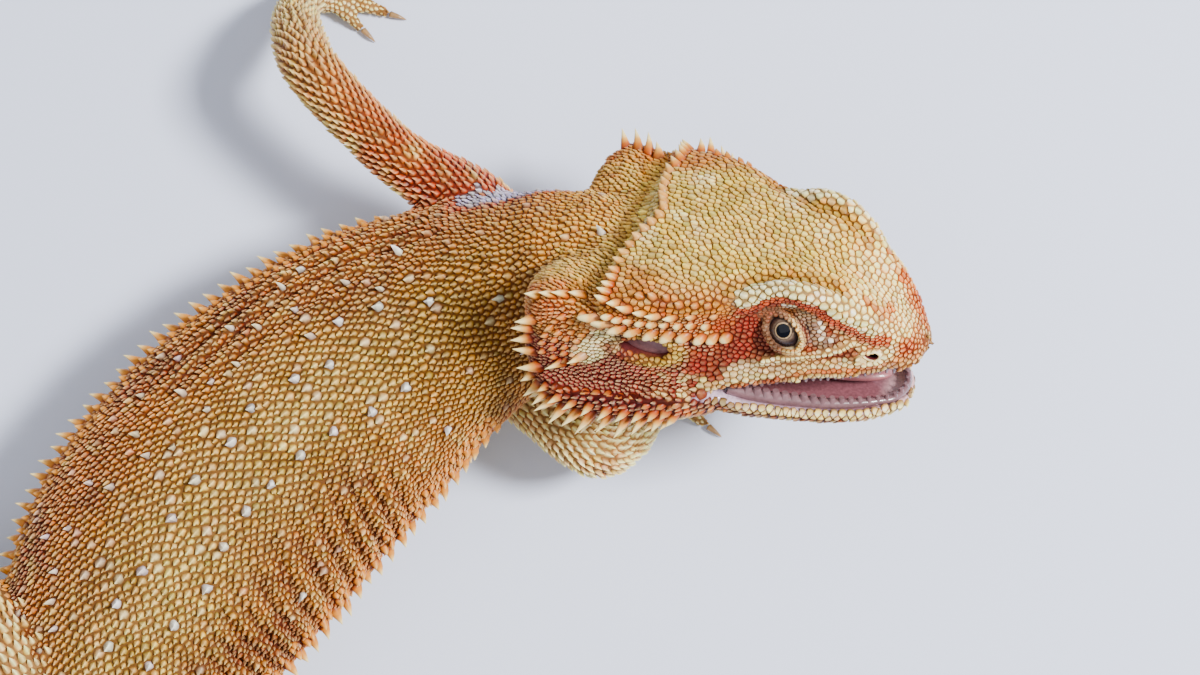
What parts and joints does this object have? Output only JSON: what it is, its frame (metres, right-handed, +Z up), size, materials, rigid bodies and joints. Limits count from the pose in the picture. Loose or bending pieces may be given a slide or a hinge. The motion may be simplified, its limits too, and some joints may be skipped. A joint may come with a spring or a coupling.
{
  "type": "bearded dragon",
  "caption": "Life-size still model of a bearded dragon standing with its body bent, one foreleg reaching out and its spiny-bearded head raised, tilted and gaping a little",
  "frame": {"origin": "the middle of the animal's footprint on the floor, at the height of its soles", "axes": "+Z up; +Y is the way the body faces at the hips, roughly; the head looks to +X and its right side is turned up"},
  "size_m": [0.1898, 0.3376, 0.0627],
  "materials": {
    "scaled_skin": "dry keeled scales, golden ochre with rust streaks",
    "pale_skin": "dry small scales, cream",
    "mouth": "moist",
    "eye": "clear wet cornea over a dark brown iris",
    "ear_drum": "thin smooth membrane",
    "claw": "horn, satin"
  },
  "bodies": {
    "root": {"head": "scaled_skin", "lower_jaw": "scaled_skin", "beard": "scaled_skin", "neck": "scaled_skin", "chest": "scaled_skin", "belly": "scaled_skin", "hips": "scaled_skin", "tail_base": "scaled_skin", "tail_middle": "scaled_skin", "tail_end": "scaled_skin", "tail_tip": "scaled_skin", "upper_arm_left": "scaled_skin", "upper_arm_right": "scaled_skin", "thigh_left": "scaled_skin", "thigh_right": "scaled_skin", "forearm_left": "pale_skin", "forearm_right": "pale_skin", "shank_left": "pale_skin", "shank_right": "pale_skin", "hand_left": "pale_skin", "hand_right": "pale_skin", "foot_left": "pale_skin", "foot_right": "pale_skin", "tongue": "mouth", "eye_left": "eye", "eye_right": "eye", "ear_left": "ear_drum", "ear_right": "ear_drum", "claw_hand_left_1": "claw", "claw_hand_left_2": "claw", "claw_hand_left_3": "claw", "claw_hand_left_4": "claw", "claw_hand_left_5": "claw", "claw_hand_right_1": "claw", "claw_hand_right_2": "claw", "claw_hand_right_3": "claw", "claw_hand_right_4": "claw", "claw_hand_right_5": "claw", "claw_foot_left_1": "claw", "claw_foot_left_2": "claw", "claw_foot_left_3": "claw", "claw_foot_left_4": "claw", "claw_foot_left_5": "claw", "claw_foot_right_1": "claw", "claw_foot_right_2": "claw", "claw_foot_right_3": "claw", "claw_foot_right_4": "claw", "claw_foot_right_5": "claw"}
  },
  "joints": []
}
